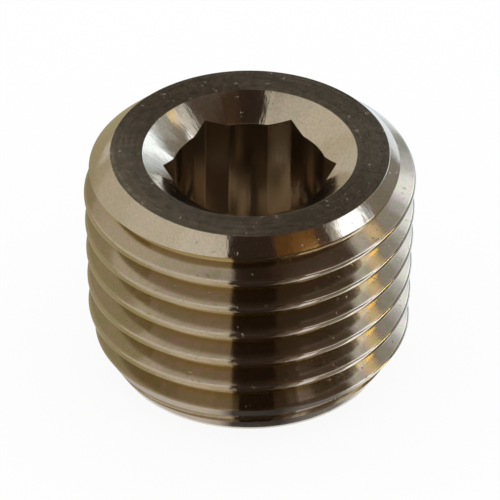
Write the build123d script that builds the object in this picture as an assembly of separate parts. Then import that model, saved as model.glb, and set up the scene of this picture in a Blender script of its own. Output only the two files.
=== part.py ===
from build123d import *
from math import atan, ceil, cos, degrees, radians, sin, tan
import os

# Hexagon socket pipe plug with an R 1/4 taper thread (ISO 7-1), turned in one piece. Millimetres.
# The origin is the centre of the small end, and +Z runs along the axis to the socket.
# Two corners of the hexagon lie on the X axis.

# Body
plug_length = 9.8
small_end_below_root = 0.175  # how far the edge of this flat face lies inside the root of the thread
small_end_chamfer_angle = 31.0  # from the axis
large_end_below_root = 0.24  # and the outer edge of the ring round the socket
large_end_chamfer_angle = 45.0  # from the axis
ring_edge_radius = 0.06  # broken edges of the ring

# Taper thread: Whitworth form, 55 degrees, 19 threads to the inch, right-handed
pitch = 1.337
gauge_diameter = 13.157  # over the crests in the gauge plane
gauge_height = 6.0  # gauge plane above the small end
taper_on_diameter = 1 / 16
flank_angle = 27.5  # from a plane square to the axis
depth_per_pitch = 0.640327
root_radius_per_pitch = 0.137329
crest_radius_per_pitch = 0.09  # edges of the truncated crest
first_crest_height = 0.5  # middle of the lowest crest above the small end, on the +X side
root_steps = 4  # straight steps that make up the rounding of a root
crest_steps = 1  # and of each edge of a crest

# Socket for a 6 mm key
hexagon_across_flats = 6.02
hexagon_depth = 5.8
mouth_diameter = 8.6  # countersink, in the face of the large end
mouth_angle = 110.0  # included
pilot_diameter = 6.23  # drilled before broaching, a little wider than the flats
pilot_depth = 6.6  # of the full diameter
drill_point_angle = 118.0  # included

# Worked out from the sizes above
slope = taper_on_diameter / 2
cone_angle = atan(slope)
flank = radians(flank_angle)
thread_depth = depth_per_pitch * pitch
root_radius = root_radius_per_pitch * pitch
crest_edge_radius = crest_radius_per_pitch * pitch
cut_margin = pitch  # how far cutting shapes reach past what they cut


def crest_line(height):
    """Radius over the crests at a height above the small end."""
    return gauge_diameter / 2 + (height - gauge_height) * slope


def arc_points(centre, radius, first, last, steps):
    """Points on an arc from one direction to another, all as (outward, along)."""
    directions = [first + (last - first) * step / steps for step in range(steps + 1)]
    return [(centre[0] + radius * cos(way), centre[1] + radius * sin(way)) for way in directions]


def groove_side(side):
    """Half the outline of a groove, from its root to the crest beside it, as (outward, along) from where
    the middle of the groove meets the crest line. side is 1 towards the large end, -1 towards the small."""
    right_angle = radians(90)
    root_out = root_radius - thread_depth
    root = arc_points(
        (root_out, 0), root_radius, 2 * right_angle, right_angle + flank, root_steps // 2
    )
    # the rounded edge of the crest touches the flank and the crest line
    foot_out, foot_along = root[-1]
    lean = side * slope
    drop = crest_edge_radius / cos(cone_angle)
    reach = foot_along - (drop + foot_out) * tan(flank) + crest_edge_radius / cos(flank)
    edge_along = reach / (1 - lean * tan(flank))
    edge_out = lean * edge_along - drop
    edge = arc_points(
        (edge_out, edge_along), crest_edge_radius, flank - right_angle, -side * cone_angle, crest_steps
    )
    return [(out, side * along) for out, along in root + edge]


def thread_outline():
    """One pitch of the thread as (radius, height): a groove, then the crest over it. It starts where the
    crest under the groove ends."""
    middle = first_crest_height - pitch / 2
    outline = groove_side(-1)[::-1] + groove_side(1)[1:]
    return [(crest_line(middle) + out, middle + along) for out, along in outline]


def helix_turn(radius, height):
    """One turn of a helix on the taper, that starts over the X axis."""
    turn = Edge.make_helix(
        pitch=pitch / cos(cone_angle), height=pitch, radius=radius, angle=degrees(cone_angle)
    )
    return turn.moved(Location((0, 0, height)))


def end_faces(edge, outline):
    """Close one end of the thread: a spiral ramp from the axis to an edge, and a step up its outline."""
    foot = Vector(0, 0, (edge @ 0).Z)
    head = Vector(0, 0, (edge @ 1).Z)
    ramp = Face.make_surface_from_curves(Edge.make_line(foot, head), edge)
    step = Face(Wire.make_polygon([foot, *outline, head]))
    return [ramp, step]


def threaded_bar():
    """A bar with the thread on it that runs past both ends of the plug."""
    outline = thread_outline()
    first_turn = -2 - ceil(outline[0][1] / pitch)
    last_turn = 2 + ceil((plug_length - outline[0][1]) / pitch)
    turns = [
        [helix_turn(radius + slope * pitch * turn, height + pitch * turn) for radius, height in outline]
        for turn in range(first_turn, last_turn + 1)
    ]
    faces = []
    for turn, next_turn in zip(turns, turns[1:]):
        edges = turn + next_turn[:1]
        faces += [Face.make_surface_from_curves(low, high) for low, high in zip(edges, edges[1:])]
    first_edges = turns[0] + turns[1][:1]
    last_edges = turns[-2] + turns[-1][:1]
    faces += end_faces(turns[0][0], [edge @ 0 for edge in first_edges])
    faces += end_faces(turns[-1][0], [edge @ 1 for edge in last_edges])
    return Solid(Shell(faces))


def turned_ends():
    """The plug's two faces and the chamfers at its ends, with room for the thread between them."""
    outside = crest_line(plug_length) + cut_margin
    small_end_radius = crest_line(0) - thread_depth - small_end_below_root
    large_end_radius = crest_line(plug_length) - thread_depth - large_end_below_root
    small_rise = (outside - small_end_radius) / tan(radians(small_end_chamfer_angle))
    large_rise = (outside - large_end_radius) / tan(radians(large_end_chamfer_angle))
    outline = Polyline(
        (0, 0),
        (small_end_radius, 0),
        (outside, small_rise),
        (outside, plug_length - large_rise),
        (large_end_radius, plug_length),
        (0, plug_length),
        close=True,
    )
    return revolve(Plane.XZ * make_face(outline), Axis.Z)


def socket_space():
    """What the socket takes away: the countersink, the hexagon and the pilot hole with its drill point."""
    mouth_spread = tan(radians(mouth_angle / 2))
    pilot_radius = pilot_diameter / 2
    pilot_floor = plug_length - pilot_depth
    point_depth = pilot_radius / tan(radians(drill_point_angle / 2))
    neck_depth = (mouth_diameter / 2 - pilot_radius) / mouth_spread
    outline = Polyline(
        (0, pilot_floor - point_depth),
        (pilot_radius, pilot_floor),
        (pilot_radius, plug_length - neck_depth),
        (mouth_diameter / 2 + cut_margin * mouth_spread, plug_length + cut_margin),
        (0, plug_length + cut_margin),
        close=True,
    )
    drilled = revolve(Plane.XZ * make_face(outline), Axis.Z)
    hexagon = RegularPolygon(hexagon_across_flats / 2, 6, major_radius=False)
    broached = extrude(
        Plane.XY.offset(plug_length - hexagon_depth) * hexagon, hexagon_depth + cut_margin
    )
    return drilled + broached


def plug_body():
    plug = turned_ends() & threaded_bar()
    plug -= socket_space()
    ring = plug.faces().filter_by(GeomType.PLANE).sort_by(Axis.Z)[-1]
    return fillet(ring.edges(), ring_edge_radius)


os.makedirs("parts", exist_ok=True)
export_step(plug_body(), "parts/plug_body.step")
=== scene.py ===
import bmesh
import bpy
from math import atan, ceil, cos, degrees, pi, radians, sin, tan
from mathutils import Matrix, Vector


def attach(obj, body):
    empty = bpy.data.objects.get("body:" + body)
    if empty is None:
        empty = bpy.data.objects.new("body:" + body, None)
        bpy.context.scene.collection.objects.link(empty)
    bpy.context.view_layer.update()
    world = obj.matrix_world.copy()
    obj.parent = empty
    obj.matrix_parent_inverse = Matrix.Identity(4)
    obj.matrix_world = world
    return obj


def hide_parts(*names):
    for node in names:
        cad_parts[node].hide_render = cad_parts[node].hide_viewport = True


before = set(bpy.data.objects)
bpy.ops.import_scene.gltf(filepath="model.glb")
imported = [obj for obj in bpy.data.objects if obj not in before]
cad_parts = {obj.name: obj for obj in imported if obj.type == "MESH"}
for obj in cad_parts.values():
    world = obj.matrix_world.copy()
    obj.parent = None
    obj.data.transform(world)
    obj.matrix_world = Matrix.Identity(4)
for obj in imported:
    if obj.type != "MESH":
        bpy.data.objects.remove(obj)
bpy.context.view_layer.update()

# The plug is built anew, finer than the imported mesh, and stands for its node. Its metal mirrors cards
# that only reflections see, so their places and colours make its look.

# Sizes of the plug in millimetres, as in its source. The small end lies on z = 0, the socket opens up.
mm = 0.001
plug_length = 9.8
small_end_below_root = 0.175
small_end_chamfer = radians(31)
large_end_below_root = 0.24
large_end_chamfer = radians(45)
pitch = 1.337
gauge_radius = 13.157 / 2
gauge_height = 6.0
slope = 1 / 32
cone_angle = atan(slope)
flank = radians(27.5)
thread_depth = 0.640327 * pitch
root_radius = 0.137329 * pitch
crest_edge_radius = 0.09 * pitch
first_crest_height = 0.5
across_flats = 6.02
hexagon_depth = 5.8
mouth_radius = 8.6 / 2
mouth_half_angle = radians(55)
pilot_radius = 6.23 / 2
pilot_depth = 6.6
drill_half_angle = radians(59)

# Roundings of the edges, in millimetres, and how finely round shapes are divided
small_end_edge = 0.04
ring_edge = 0.06
neck_edge = 0.03
hexagon_corner = 0.08
turn_segments = 300
root_steps = 3
edge_steps = 4
corner_steps = 3
neck_steps = 2

# Colours of the metal. The plate is greener in some places and redder in others.
green_nickel = (0.62, 0.585, 0.49, 1)
red_nickel = (0.67, 0.595, 0.52, 1)
# The groove colours are darker and brassier than the plate: painted shade in the grooves of the thread,
# on a thinner plate there.
green_thin_plate_and_shade = (0.455, 0.43, 0.295, 1)
red_thin_plate_and_shade = (0.54, 0.425, 0.39, 1)
# The root colour is darker and brassier still: painted shade deep in the roots of the grooves.
brassy_root_and_shade = (0.48, 0.38, 0.205, 1)
# The broached colour is darker and browner than the plate: painted shade inside the socket.
shaded_broached_metal = (0.55, 0.47, 0.38, 1)

# Depth of the tools' marks, in millimetres
mark_depth = 0.003


def crest_line(height):
    """Radius over the crests at a height."""
    return gauge_radius + (height - gauge_height) * slope


small_end_radius = crest_line(0) - thread_depth - small_end_below_root
large_end_radius = crest_line(plug_length) - thread_depth - large_end_below_root


# --- shapes -------------------------------------------------------------------------------------

def mesh_object(name, points, faces):
    """A closed mesh, in millimetres, with its faces turned outwards."""
    mesh = bpy.data.meshes.new(name)
    mesh.from_pydata(points, [], faces)
    shape = bmesh.new()
    shape.from_mesh(mesh)
    bmesh.ops.recalc_face_normals(shape, faces=shape.faces)
    shape.to_mesh(mesh)
    shape.free()
    piece = bpy.data.objects.new(name, mesh)
    bpy.context.scene.collection.objects.link(piece)
    return piece


def arc(centre, radius, first, last, steps):
    """Points on an arc from one direction to another."""
    ways = [first + (last - first) * step / steps for step in range(steps + 1)]
    return [(centre[0] + radius * cos(way), centre[1] + radius * sin(way)) for way in ways]


def rounded(before, corner, after, radius, steps):
    """Points that round off one corner of an outline."""
    corner = Vector(corner)
    back = (Vector(before) - corner).normalized()
    on = (Vector(after) - corner).normalized()
    half = back.angle(on) / 2
    centre = corner + (back + on).normalized() * radius / sin(half)
    start = corner + back * radius / tan(half) - centre
    turn = start.angle_signed(corner + on * radius / tan(half) - centre)
    turns = [Matrix.Rotation(-turn * step / steps, 2) for step in range(steps + 1)]
    return [tuple(centre + rotation @ start) for rotation in turns]


def groove_side(side):
    """Half a groove of the thread, from its root to the crest beside it, as (outward, along)."""
    root_out = root_radius - thread_depth
    root = arc((root_out, 0), root_radius, pi, pi / 2 + flank, root_steps)
    foot_out, foot_along = root[-1]
    lean = side * slope
    drop = crest_edge_radius / cos(cone_angle)
    reach = foot_along - (drop + foot_out) * tan(flank) + crest_edge_radius / cos(flank)
    along = reach / (1 - lean * tan(flank))
    centre = (lean * along - drop, along)
    edge = arc(centre, crest_edge_radius, flank - pi / 2, -side * cone_angle, edge_steps)
    return [(out, side * along) for out, along in root + edge]


def thread_outline():
    """One pitch of the thread as (radius, height), from a crest's end over a groove to the next."""
    middle = first_crest_height - pitch / 2
    outline = groove_side(-1)[::-1] + groove_side(1)[1:]
    return [(crest_line(middle) + out, middle + along) for out, along in outline]


def threaded_bar():
    """A bar with the thread on it that runs past both ends of the plug."""
    outline = thread_outline()
    row_count = len(outline)
    first_turn = -1 - ceil(outline[0][1] / pitch)
    turns = 3 + ceil(plug_length / pitch)
    points = []
    for row in range(turns * row_count):
        turn, place = divmod(row, row_count)
        radius, height = outline[place]
        for column in range(turn_segments):
            angle = 2 * pi * column / turn_segments
            rise = pitch * (first_turn + turn + column / turn_segments)
            reach = radius + slope * rise
            points.append((reach * cos(angle), reach * sin(angle), height + rise))

    def at(row, column):
        return row * turn_segments + column

    last_row = turns * row_count - 1
    last_column = turn_segments - 1
    faces = []
    for row in range(last_row):
        for column in range(last_column):
            after = column + 1
            faces.append((at(row, column), at(row, after), at(row + 1, after), at(row + 1, column)))
        if row + row_count < last_row:
            over = row + row_count
            faces.append((at(row, last_column), at(over, 0), at(over + 1, 0), at(row + 1, last_column)))
    # each end is closed with a fan round a point on the axis
    foot = len(points)
    points.append((0, 0, points[at(0, 0)][2]))
    points.append((0, 0, points[at(last_row, last_column)][2]))
    low = [at(0, column) for column in range(turn_segments)]
    low += [at(row, 0) for row in range(row_count, -1, -1)]
    high = [at(last_row, column) for column in range(last_column, -1, -1)]
    high += [at(row, last_column) for row in range(last_row - row_count, last_row + 1)]
    faces += [(foot, one, other) for one, other in zip(low[1:], low)]
    faces += [(foot + 1, one, other) for one, other in zip(high[1:], high)]
    return mesh_object("threaded_bar", points, faces)


def turned(name, outline):
    """A solid of revolution. Its segments lie between the bar's, so that no edges coincide."""
    points = []
    rings = []
    for radius, height in outline:
        count = turn_segments if radius > 0 else 1
        rings.append([len(points) + step for step in range(count)])
        for step in range(count):
            angle = 2 * pi * (step + 0.5) / turn_segments
            points.append((radius * cos(angle), radius * sin(angle), height))
    faces = []
    for low, high in zip(rings, rings[1:]):
        for step in range(turn_segments):
            after = (step + 1) % turn_segments
            corners = [low[step % len(low)], low[after % len(low)]]
            corners += [high[after % len(high)], high[step % len(high)]]
            faces.append(tuple(dict.fromkeys(corners)))
    return mesh_object(name, points, faces)


def blank():
    """The plug without its thread and hexagon: turned ends, countersink, pilot hole and drill point."""
    outside = crest_line(plug_length) + pitch
    small_chamfer_top = (outside - small_end_radius) / tan(small_end_chamfer)
    large_chamfer_foot = plug_length - (outside - large_end_radius) / tan(large_end_chamfer)
    neck = plug_length - (mouth_radius - pilot_radius) / tan(mouth_half_angle)
    pilot_floor = plug_length - pilot_depth
    # corners of the section, each with the radius of its rounding and the steps in it
    corners = [
        ((0, 0), 0, 0),
        ((small_end_radius, 0), small_end_edge, corner_steps),
        ((outside, small_chamfer_top), 0, 0),
        ((outside, large_chamfer_foot), 0, 0),
        ((large_end_radius, plug_length), ring_edge, edge_steps),
        ((mouth_radius, plug_length), ring_edge, edge_steps),
        ((pilot_radius, neck), neck_edge, neck_steps),
        ((pilot_radius, pilot_floor), 0, 0),
        ((0, pilot_floor - pilot_radius / tan(drill_half_angle)), 0, 0),
    ]
    outline = []
    for index, (corner, radius, steps) in enumerate(corners):
        if radius:
            outline += rounded(corners[index - 1][0], corner, corners[index + 1][0], radius, steps)
        else:
            outline.append(corner)
    return turned("plug", outline)


def hexagon_bar():
    """What the broach takes away, with two corners on the X axis."""
    reach = across_flats / 2 / cos(pi / 6)
    corners = [(reach * cos(pi * k / 3), reach * sin(pi * k / 3)) for k in range(6)]
    outline = []
    for k in range(6):
        after = corners[(k + 1) % 6]
        outline += rounded(corners[k - 1], corners[k], after, hexagon_corner, corner_steps)
    count = len(outline)
    low = plug_length - hexagon_depth
    high = plug_length + pitch
    points = [(x, y, low) for x, y in outline] + [(x, y, high) for x, y in outline]
    faces = [tuple(range(count)), tuple(range(count, 2 * count))]
    for one in range(count):
        other = (one + 1) % count
        faces.append((one, other, count + other, count + one))
    return mesh_object("hexagon_bar", points, faces)


def combine(piece, tool, operation):
    """Apply a boolean with another shape, which is then deleted."""
    modifier = piece.modifiers.new(operation.lower(), "BOOLEAN")
    modifier.operation = operation
    modifier.solver = "EXACT"
    modifier.object = tool
    result = bpy.data.meshes.new_from_object(piece.evaluated_get(bpy.context.evaluated_depsgraph_get()))
    piece.modifiers.clear()
    piece.data = result
    bpy.data.objects.remove(tool)


def plug_mesh():
    """The plug with its true roundings, in metres."""
    plug = blank()
    combine(plug, hexagon_bar(), "DIFFERENCE")
    combine(plug, threaded_bar(), "INTERSECT")
    plug.data.transform(Matrix.Scale(mm, 4))
    plug.data.name = "plug"
    plug.data.shade_smooth()
    plug.data.set_sharp_from_angle(angle=radians(30))
    # large faces keep their own direction beside the small ones of a rounding
    weighting = plug.modifiers.new("flat_faces", "WEIGHTED_NORMAL")
    weighting.keep_sharp = True
    weighting.weight = 100
    return plug


# --- materials ----------------------------------------------------------------------------------

def new_material(name):
    material = bpy.data.materials.new(name)
    material.use_nodes = True
    material.node_tree.nodes.clear()
    return material, material.node_tree


class Graph:
    """Short ways to write a node tree. Values may be numbers or sockets of other nodes."""

    def __init__(self, tree):
        self.tree = tree

    def node(self, kind, **settings):
        made = self.tree.nodes.new(kind)
        for setting, value in settings.items():
            setattr(made, setting, value)
        return made

    def feed(self, socket, value):
        if isinstance(value, bpy.types.NodeSocket):
            self.tree.links.new(value, socket)
        else:
            socket.default_value = value

    def math(self, operation, *values, clamp=False):
        made = self.node("ShaderNodeMath", operation=operation, use_clamp=clamp)
        for socket, value in zip(made.inputs, values):
            self.feed(socket, value)
        return made.outputs[0]

    def add(self, a, b):
        return self.math("ADD", a, b)

    def less(self, a, b):
        return self.math("SUBTRACT", a, b)

    def times(self, a, b):
        return self.math("MULTIPLY", a, b)

    def total(self, start, *parts):
        """start, and each part's value times its weight on top."""
        for value, weight in parts:
            start = self.add(start, self.times(value, weight))
        return start

    def ramp(self, value, low, high):
        """0 below low and 1 above high, smooth between them."""
        made = self.node("ShaderNodeMapRange", interpolation_type="SMOOTHSTEP")
        self.feed(made.inputs["Value"], value)
        made.inputs["From Min"].default_value = low
        made.inputs["From Max"].default_value = high
        return made.outputs["Result"]

    def fall(self, value, low, high):
        """1 below low and 0 above high, smooth between them."""
        return self.less(1.0, self.ramp(value, low, high))

    def vector(self, x, y, z):
        made = self.node("ShaderNodeCombineXYZ")
        for socket, value in zip(made.inputs, (x, y, z)):
            self.feed(socket, value)
        return made.outputs[0]

    def noise(self, vector, w=0.0, scale=1.0, detail=2.0, roughness=0.5):
        made = self.node("ShaderNodeTexNoise", noise_dimensions="4D")
        self.feed(made.inputs["Vector"], vector)
        self.feed(made.inputs["W"], w)
        made.inputs["Scale"].default_value = scale
        made.inputs["Detail"].default_value = detail
        made.inputs["Roughness"].default_value = roughness
        return made.outputs["Fac"]

    def mix(self, factor, first, second):
        """A mix of two colours, whose sockets share their names with others and so go by number."""
        made = self.node("ShaderNodeMix", data_type="RGBA")
        self.feed(made.inputs["Factor"], factor)
        self.feed(made.inputs[6], first)
        self.feed(made.inputs[7], second)
        return made.outputs[2]


def nickel_on_brass():
    """Turned brass under nickel plate, with the marks of the tools on each surface."""
    material, tree = new_material("nickel_on_brass")
    g = Graph(tree)
    place = g.node("ShaderNodeTexCoord")
    scaled = g.node("ShaderNodeVectorMath", operation="SCALE")
    g.feed(scaled.inputs[0], place.outputs["Object"])
    scaled.inputs["Scale"].default_value = 1 / mm
    point = scaled.outputs[0]
    split = g.node("ShaderNodeSeparateXYZ")
    g.feed(split.inputs[0], point)
    x, y, z = split.outputs
    facing = g.node("ShaderNodeSeparateXYZ")
    g.feed(facing.inputs[0], place.outputs["Normal"])
    upward = facing.outputs[2]
    radius = g.math("SQRT", g.add(g.times(x, x), g.times(y, y)))
    across = g.math("DIVIDE", x, radius)
    along = g.math("DIVIDE", y, radius)

    # where one surface ends and the next begins: millimetres, or how far a face looks upward
    level = (0.94, 0.99)
    upright = (0.25, 0.35)
    socket_edge = (3.60, 3.66)
    mouth_edge = (4.40, 4.44)
    under_ring = (9.71, 9.75)
    chamfer_foot = (8.75, 8.95)
    groove_edge = (0.04, 0.14)
    root_edge = (0.45, 0.80)

    # where each tool has worked, and the grooves of the thread, where the plate is thin and the colour
    # carries painted shade
    ring = g.ramp(upward, *level)
    broached = g.times(g.fall(radius, *socket_edge), g.fall(upward, *upright))
    over_crests = g.add(crest_line(0), g.times(z, slope))
    large_cone = g.less(large_end_radius + plug_length, z)
    small_cone = g.add(small_end_radius, g.times(z, tan(small_end_chamfer)))
    unthreaded = g.math("MINIMUM", g.math("MINIMUM", over_crests, large_cone), small_cone)
    depth = g.less(unthreaded, radius)
    outside = g.times(g.ramp(radius, *mouth_edge), g.fall(z, *under_ring))
    groove = g.times(g.ramp(depth, *groove_edge), outside)
    root = g.ramp(depth, *root_edge)
    chamfer = g.times(g.less(1.0, groove), g.less(1.0, ring))
    chamfer = g.times(chamfer, g.ramp(z, *chamfer_foot))

    # marks that run round the axis
    def round_marks(length, spacing, detail=2.0):
        """length is how many marks there are in a turn, and spacing how many in a millimetre across."""
        way_round = g.vector(g.times(across, length), g.times(along, length), g.times(radius, spacing))
        return g.noise(way_round, g.times(z, spacing), detail=detail)

    fine_lines = round_marks(1.5, 9.0)
    chatter = round_marks(22.0, 1.6, detail=3.0)
    grain = g.noise(point, scale=22.0, detail=2.0, roughness=0.6)
    speckle = g.ramp(g.noise(point, 3.0, scale=11.0, detail=3.0, roughness=0.7), 0.32, 0.68)
    blotches = g.ramp(g.noise(point, scale=3.0, detail=4.0, roughness=0.65), 0.35, 0.65)
    dents = g.ramp(g.noise(point, 7.0, scale=4.5, detail=1.0), 0.70, 0.76)
    pull_marks = g.noise(g.vector(g.times(x, 7.0), g.times(y, 7.0), g.times(z, 0.35)), detail=3.0)

    plain = g.mix(blotches, green_nickel, red_nickel)
    # the grooves and their roots take darker, brassier colours: painted shade, on a thinner plate
    thin_plate_and_shade = g.mix(blotches, green_thin_plate_and_shade, red_thin_plate_and_shade)
    thin_plate_and_shade = g.mix(root, thin_plate_and_shade, brassy_root_and_shade)
    colour = g.mix(groove, plain, thin_plate_and_shade)
    # the socket takes a darker colour: painted shade
    colour = g.mix(broached, colour, shaded_broached_metal)
    # the ring is duller and more uneven than the rest
    unevenness = g.less(g.total(g.times(fine_lines, 0.36), (blotches, 0.24)), 0.30)
    shade = g.total(0.93, (speckle, 0.14), (ring, unevenness))
    shaded = g.node("ShaderNodeVectorMath", operation="SCALE")
    g.feed(shaded.inputs[0], colour)
    g.feed(shaded.inputs["Scale"], shade)

    rough = g.total(0.085, (fine_lines, 0.05), (speckle, 0.02), (ring, 0.08), (broached, 0.05))

    # relief of the marks, as shares of mark_depth
    relief = g.times(fine_lines, g.total(0.35, (ring, 0.3)))
    chatter_share = g.total(0.5, (chamfer, 2.0))
    grain_share = g.total(0.12, (ring, 0.25))
    relief = g.total(relief, (chatter, chatter_share), (grain, grain_share), (pull_marks, broached))
    relief = g.less(relief, g.times(dents, 2.0))
    bump = g.node("ShaderNodeBump")
    bump.inputs["Strength"].default_value = 1.0
    bump.inputs["Distance"].default_value = mark_depth * mm
    g.feed(bump.inputs["Height"], relief)

    metal = g.node("ShaderNodeBsdfPrincipled")
    metal.inputs["Metallic"].default_value = 1.0
    g.feed(metal.inputs["Base Color"], shaded.outputs[0])
    g.feed(metal.inputs["Roughness"], rough)
    # turning marks spread a reflection along the axis, and hardly round it
    metal.inputs["Anisotropic"].default_value = 0.8
    metal.inputs["Anisotropic Rotation"].default_value = 0.25
    tangent = g.node("ShaderNodeTangent", direction_type="RADIAL", axis="Z")
    g.feed(metal.inputs["Tangent"], tangent.outputs[0])
    g.feed(metal.inputs["Normal"], bump.outputs[0])
    output = g.node("ShaderNodeOutputMaterial")
    g.feed(output.inputs["Surface"], metal.outputs[0])
    return material


def glow(name, colour):
    """Light of one colour, or of the colours of the mesh's points if there is none."""
    material, tree = new_material(name)
    g = Graph(tree)
    light = g.node("ShaderNodeEmission")
    if colour:
        light.inputs["Color"].default_value = (*colour, 1)
    else:
        point_colours = g.node("ShaderNodeVertexColor", layer_name="glow")
        g.feed(light.inputs["Color"], point_colours.outputs["Color"])
    output = g.node("ShaderNodeOutputMaterial")
    g.feed(output.inputs["Surface"], light.outputs[0])
    return material


# --- studio -------------------------------------------------------------------------------------

# The camera, as it was fitted to the plug's outline in the photo. Lengths are in millimetres.
camera_distance = 500.0
camera_height_angle = radians(36.7126)
camera_turn = radians(1.4)  # how far the camera stands to the left of the -Y axis
camera_roll = -0.0047734
camera_lens = 896.26
sensor_width = 36
aim_height = 4.94945
aim_right = 0.02515


def way(azimuth, elevation=0.0):
    """A direction. Azimuth 0 points towards the camera and grows to the camera's right."""
    turn = radians(azimuth) - camera_turn
    rise = radians(elevation)
    return Vector((cos(rise) * sin(turn), -cos(rise) * cos(turn), sin(rise)))


def add_camera():
    towards = way(0, degrees(camera_height_angle))
    right = Vector((0, 0, 1)).cross(towards).normalized()
    up = towards.cross(right)
    aim = Vector((0, 0, aim_height)) + right * aim_right
    rolled_right = right * cos(camera_roll) - up * sin(camera_roll)
    rolled_up = up * cos(camera_roll) + right * sin(camera_roll)
    camera = bpy.data.objects.new("camera", bpy.data.cameras.new("camera"))
    camera.data.lens = camera_lens
    camera.data.sensor_width = sensor_width
    camera.data.clip_start = 0.01
    camera.matrix_world = Matrix((rolled_right, rolled_up, towards)).transposed().to_4x4()
    camera.location = (aim + towards * camera_distance) * mm
    bpy.context.scene.collection.objects.link(camera)
    bpy.context.scene.camera = camera


def card(name, rows, colour=None, row_colours=()):
    """A glowing card over rows of points, in millimetres, that is seen in reflections only."""
    points = [point * mm for row in rows for point in row]
    width = len(rows[0])
    faces = []
    for row in range(len(rows) - 1):
        for column in range(width - 1):
            first = row * width + column
            faces.append((first, first + 1, first + width + 1, first + width))
    mesh = bpy.data.meshes.new(name)
    mesh.from_pydata(points, [], faces)
    if row_colours:
        layer = mesh.color_attributes.new("glow", "FLOAT_COLOR", "POINT")
        for index, value in enumerate(layer.data):
            value.color = (*row_colours[index // width], 1)
    mesh.materials.append(glow(name, colour))
    made = bpy.data.objects.new(name, mesh)
    made.visible_camera = False
    made.visible_diffuse = False
    made.visible_shadow = False
    made.visible_transmission = False
    bpy.context.scene.collection.objects.link(made)


def wall(name, low_left, low_right, high_right, high_left, colour, distance=400.0):
    """A card stood up round the plug, with its corners given as (azimuth, elevation).

    The distance is in millimetres, and a nearer card hides those behind it.
    """
    steps = 12
    rows = []
    for up in range(steps + 1):
        rise = up / steps
        row = []
        for on in range(steps + 1):
            share = on / steps
            low = [a + (b - a) * share for a, b in zip(low_left, low_right)]
            high = [a + (b - a) * share for a, b in zip(high_left, high_right)]
            azimuth, elevation = [a + (b - a) * rise for a, b in zip(low, high)]
            row.append(way(azimuth, elevation) * distance + Vector((0, 0, plug_length / 2)))
        rows.append(row)
    card(name, rows, colour)


def ground(name, first, last, colour, near=0.0, far=400.0, lift=0.03):
    """A card on the floor between two lines of sight that leave the plug towards two azimuths."""
    radius = crest_line(plug_length / 2)
    between = [reach for reach in (6.0, 14.0, 30.0, 80.0, 200.0) if near < reach < far]
    steps = max(2, round((last - first) / 5))
    rows = []
    for step in range(steps + 1):
        azimuth = first + (last - first) * step / steps
        # the plug's side mirrors the camera's view this way where it faces half the azimuth
        start = way(azimuth / 2) * radius + Vector((0, 0, lift))
        rows.append([start + way(azimuth) * reach for reach in (near, *between, far)])
    card(name, rows, colour)


def foot(stops, gap=0.05, reach=1.4, lift=0.02):
    """A card on the floor under the small chamfer. Its colour runs from stop to stop round the plug."""
    edges = (small_end_radius + gap, small_end_radius + reach)
    rows = []
    colours = []
    for (first, one), (last, other) in zip(stops, stops[1:]):
        steps = max(1, round((last - first) / 3))
        for step in range(steps + 1):
            share = step / steps
            out = way(first + (last - first) * share)
            rows.append([out * edge + Vector((0, 0, lift)) for edge in edges])
            colours.append([a + (b - a) * share for a, b in zip(one, other)])
    card("foot", rows, row_colours=colours)


def screen(name, first, last, colour, reach, height, lift=0.04):
    """A low card that stands close to the plug, between two azimuths."""
    steps = max(2, round((last - first) / 5))
    ways = [way(first + (last - first) * step / steps) for step in range(steps + 1)]
    rows = [[out * reach + Vector((0, 0, level)) for out in ways] for level in (lift, height)]
    card(name, rows, colour)


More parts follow.
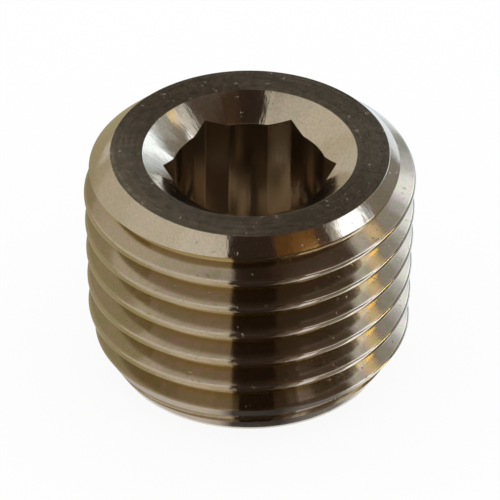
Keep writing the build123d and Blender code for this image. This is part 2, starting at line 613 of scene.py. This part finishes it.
def add_cards():
    """What the plug mirrors, fitted until the metal's mean colours came near the photo's."""
    near_black = (0.036, 0.023, 0.016)

    # the room: beige on the left, the dark side behind the camera, and the windows on the right
    wall("left_far", (-180, 0), (-140, 0), (-140, 80), (-180, 80), (0.62, 0.57, 0.47))
    wall("left_low", (-140, 0), (-60, 0), (-60, 12), (-140, 12), (0.47, 0.40, 0.28))
    wall("left", (-140, 12), (-60, 12), (-60, 30), (-140, 30), (0.59, 0.53, 0.41))
    wall("left_mid", (-140, 30), (-60, 30), (-60, 56), (-140, 56), (0.66, 0.60, 0.49))
    wall("left_high", (-140, 56), (-60, 56), (-60, 80), (-140, 80), (0.60, 0.555, 0.47))
    wall("left_top", (-140, 61), (-62, 74), (-62, 80), (-140, 80), (0.10, 0.075, 0.038), 396)
    wall("front_left", (-60, 0), (-13, 0), (-15, 30), (-60, 30), (0.60, 0.52, 0.40))
    wall("front_left_mid", (-60, 30), (-15, 30), (-20, 56), (-60, 56), (0.71, 0.66, 0.56))
    wall("front_left_high", (-60, 56), (-20, 56), (-44, 80), (-60, 80), (0.57, 0.53, 0.45))
    wall("front", (-13, 0), (22, 0), (22, 30), (-15, 30), near_black)
    wall("front_mid", (-15, 30), (22, 30), (22, 56), (-20, 56), near_black)
    wall("front_high", (-20, 56), (22, 56), (22, 80), (-44, 80), near_black)
    wall("front_right", (22, 0), (70, 0), (70, 42), (22, 42), (0.12, 0.09, 0.07))
    wall("front_right_high", (22, 42), (74, 42), (74, 80), (22, 80), (0.060, 0.036, 0.022))
    wall("right", (70, 0), (120, 0), (120, 30), (70, 30), (0.24, 0.21, 0.165))
    wall("right_mid", (70, 30), (150, 30), (150, 56), (70, 56), (0.25, 0.22, 0.18))
    wall("right_high", (70, 56), (150, 56), (150, 80), (70, 80), (0.085, 0.060, 0.042))
    wall("right_low", (120, 0), (142, 0), (142, 30), (120, 30), (0.26, 0.24, 0.21))
    wall("right_far", (142, 0), (180, 0), (180, 30), (142, 30), (0.42, 0.46, 0.48))
    wall("back_high", (150, 30), (180, 30), (180, 80), (150, 80), (0.10, 0.09, 0.075))
    wall("roof", (-180, 79), (180, 79), (180, 90), (-180, 90), (0.036, 0.022, 0.015), 390)
    wall("back", (170, 20), (192, 20), (192, 56), (170, 56), (0.046, 0.037, 0.027), 380)
    wall("right_top", (45, 78), (100, 60), (104, 72), (45, 80), (0.14, 0.11, 0.09), 385)

    # windows and lamps
    wall("window_edge", (68, 38), (75, 37), (75, 45), (68, 46), (0.48, 0.45, 0.40), 370)
    wall("window", (75, 33), (98, 31), (98, 44), (75, 44), (2.0, 2.1, 2.25), 370)
    wall("window_side", (98, 27), (102, 26), (102, 36), (98, 38), (0.66, 0.72, 0.78), 371)
    wall("window_top", (98, 44), (107, 43), (106, 56), (98, 57), (0.85, 0.87, 0.86), 370)
    wall("gold_window", (106, 42), (114, 41), (114, 49), (106, 51), (1.18, 0.96, 0.56), 370)
    wall("pale_side", (112, 32), (134, 27), (134, 42), (117, 48), (0.46, 0.47, 0.45), 373)
    wall("lamp_halo", (131, 17), (157, 6), (157, 34), (124, 37), (0.78, 0.87, 0.95), 371)
    wall("lamp", (134, 20), (158, 13), (158, 30), (130, 32), (1.5, 1.68, 1.88), 369)
    wall("amber_lamp", (24, 43), (61, 42), (60, 57), (24, 58), (0.135, 0.060, 0.016), 375)
    wall("amber_middle", (33, 43), (56, 42), (50, 53), (38, 53), (0.215, 0.100, 0.027), 374.5)
    wall("amber_glint", (42, 45), (57, 44), (57, 45.5), (42, 46.5), (1.3, 0.8, 0.25), 374)
    wall("bright_strip", (34, 3), (48, 3), (48, 30), (34, 34), (0.70, 0.66, 0.66), 375)
    wall("lit_corner", (48, 6), (73, 6), (73, 38), (48, 38), (0.56, 0.50, 0.43), 375)
    wall("bright_side", (84, -4), (93, -4), (93, 8), (84, 9), (2.85, 3.1, 3.0), 375)
    wall("bright_side_top", (76, 10), (90, 10), (90, 32), (76, 32), (0.78, 0.78, 0.77), 375)
    wall("bright_gold", (93, 2), (105, 3), (100, 10), (93, 11), (4.7, 3.7, 1.3), 374)
    wall("gold_top", (90, 12), (98, 12), (98, 28), (90, 28), (0.34, 0.30, 0.26), 374)

    # the floor
    ground("floor_left_far", -182, -140, (0.60, 0.56, 0.48))
    ground("floor_left", -140, -95, (0.37, 0.31, 0.15))
    ground("floor_left_middle", -95, -72, (0.41, 0.34, 0.165))
    ground("floor_left_near", -72, -57, (0.50, 0.42, 0.29))
    ground("floor_front_left", -57, -28, (0.61, 0.52, 0.385))
    ground("floor_beside_front", -28, -14, (0.54, 0.455, 0.335))
    ground("floor_edge", -14, -9, (0.24, 0.20, 0.15), far=9, lift=0.05)
    ground("floor_front", -14, 19, near_black)
    ground("floor_front_right", 19, 29, (0.12, 0.085, 0.06))
    ground("floor_pale_strip", 29, 37, (0.30, 0.25, 0.21))
    ground("floor_white_strip", 37, 49, (0.88, 0.83, 0.83))
    ground("floor_brown_strip", 49, 75, (0.30, 0.26, 0.21))
    ground("floor_white", 75, 91, (1.3, 1.33, 1.33))
    ground("floor_amber", 91, 96, (0.95, 0.72, 0.38))
    ground("floor_brown", 96, 116, (0.125, 0.095, 0.06))
    ground("floor_right", 116, 135, (0.50, 0.52, 0.52))
    ground("floor_right_far", 135, 182, (0.96, 1.07, 1.20))
    ground("floor_left_away", -78, -14.5, (0.61, 0.55, 0.44), near=22, lift=0.05)
    ground("floor_front_away", 19, 81, (0.10, 0.075, 0.055), near=13, lift=0.05)

    screen("olive_screen", -150, -66, (0.42, 0.365, 0.225), reach=8.5, height=9.5)

    foot([
        (-150, (0.50, 0.47, 0.43)),
        (-60, (0.50, 0.47, 0.43)),
        (-40, (0.59, 0.53, 0.48)),
        (-20, (0.60, 0.54, 0.47)),
        (-13, (0.50, 0.44, 0.38)),
        (-7, (0.07, 0.06, 0.055)),
        (14, (0.05, 0.045, 0.042)),
        (24, (0.18, 0.165, 0.15)),
        (42, (0.22, 0.20, 0.185)),
        (60, (0.90, 0.87, 0.80)),
        (110, (0.85, 0.84, 0.82)),
        (210, (0.50, 0.47, 0.43)),
    ])


def add_floor():
    half = 2.0
    share_of_white = 0.9
    corners = [(-half, -half, 0), (half, -half, 0), (half, half, 0), (-half, half, 0)]
    mesh = bpy.data.meshes.new("floor")
    mesh.from_pydata(corners, [], [(0, 1, 2, 3)])
    floor = bpy.data.objects.new("floor", mesh)
    bpy.context.scene.collection.objects.link(floor)
    material, tree = new_material("white_paper")
    g = Graph(tree)
    paper = g.node("ShaderNodeBsdfDiffuse")
    paper.inputs["Color"].default_value = (0.96, 0.96, 0.96, 1)
    white = g.node("ShaderNodeEmission")
    mixed = g.node("ShaderNodeMixShader")
    # seen by the camera and in reflections it is nearly white, and it keeps some of the plug's shadow
    light_path = g.node("ShaderNodeLightPath")
    seen = g.add(light_path.outputs["Is Camera Ray"], light_path.outputs["Is Glossy Ray"])
    seen = g.math("ADD", seen, light_path.outputs["Is Transmission Ray"], clamp=True)
    g.feed(mixed.inputs[0], g.times(seen, share_of_white))
    g.feed(mixed.inputs[1], paper.outputs[0])
    g.feed(mixed.inputs[2], white.outputs[0])
    output = g.node("ShaderNodeOutputMaterial")
    g.feed(output.inputs["Surface"], mixed.outputs[0])
    mesh.materials.append(material)


def add_world():
    world = bpy.data.worlds.new("world")
    bpy.context.scene.world = world
    world.use_nodes = True
    background = world.node_tree.nodes["Background"]
    background.inputs["Color"].default_value = (1, 1, 1, 1)
    background.inputs["Strength"].default_value = 1.0


plug = plug_mesh()
plug.data.materials.append(nickel_on_brass())
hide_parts("plug_body")
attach(plug, "root")

add_camera()
add_floor()
add_world()
add_cards()
bpy.context.scene.view_settings.view_transform = "Standard"
